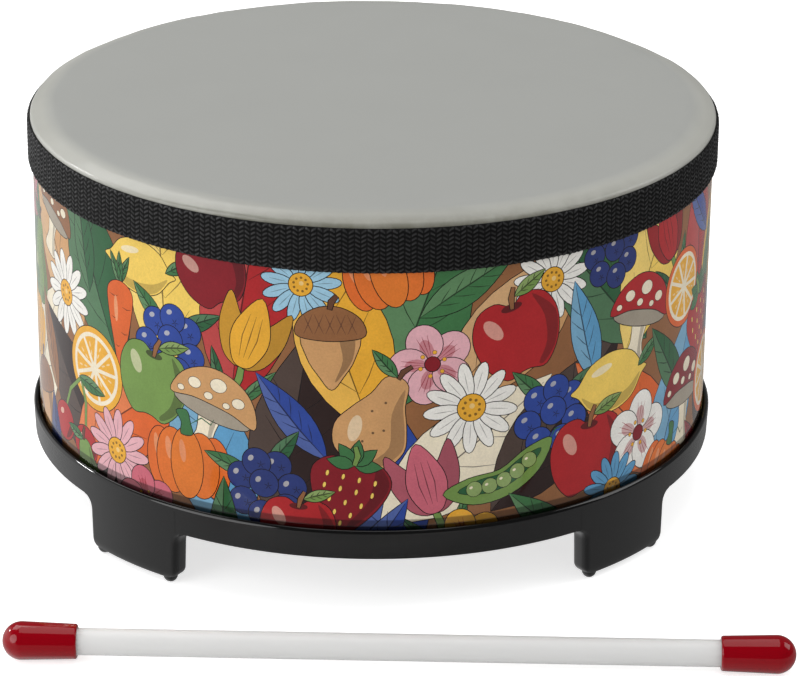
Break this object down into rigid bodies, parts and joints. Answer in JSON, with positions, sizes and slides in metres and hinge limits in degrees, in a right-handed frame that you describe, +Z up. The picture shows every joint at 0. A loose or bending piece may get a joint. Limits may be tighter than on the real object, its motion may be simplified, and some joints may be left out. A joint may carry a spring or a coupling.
{
  "type": "floor tom",
  "caption": "Small floor tom: a round shell with a fixed drum head and webbing band, standing on a moulded base ring with short legs, and a loose beater with domed caps.",
  "frame": {"origin": "middle of the whole set's box, drum and beater, at the floor", "axes": "+Z up along the drum's axis, the player stands at -Y, +X to the player's right"},
  "size_m": [0.2734, 0.3128, 0.15],
  "materials": {
    "shell": "pressed fibre, plain inside",
    "wrap": "printed film under a glossy laminate",
    "head": "matte film with a satin rim",
    "webbing": "black herringbone webbing",
    "base": "semi-gloss moulded",
    "shaft": "smooth white, slightly translucent",
    "cap": "glossy red vinyl"
  },
  "bodies": {
    "drum": {"drum_shell": "shell", "shell_wrap": "wrap", "drum_head": "head", "head_band": "webbing", "base_ring": "base"},
    "beater": {"beater_shaft": "shaft", "beater_cap_left": "cap", "beater_cap_right": "cap"}
  },
  "joints": [
    {"name": "beater_lift", "type": "slide", "parent": "drum", "child": "beater", "axis": [0, 0, 1], "range_m": [0, 0.2]}
  ]
}
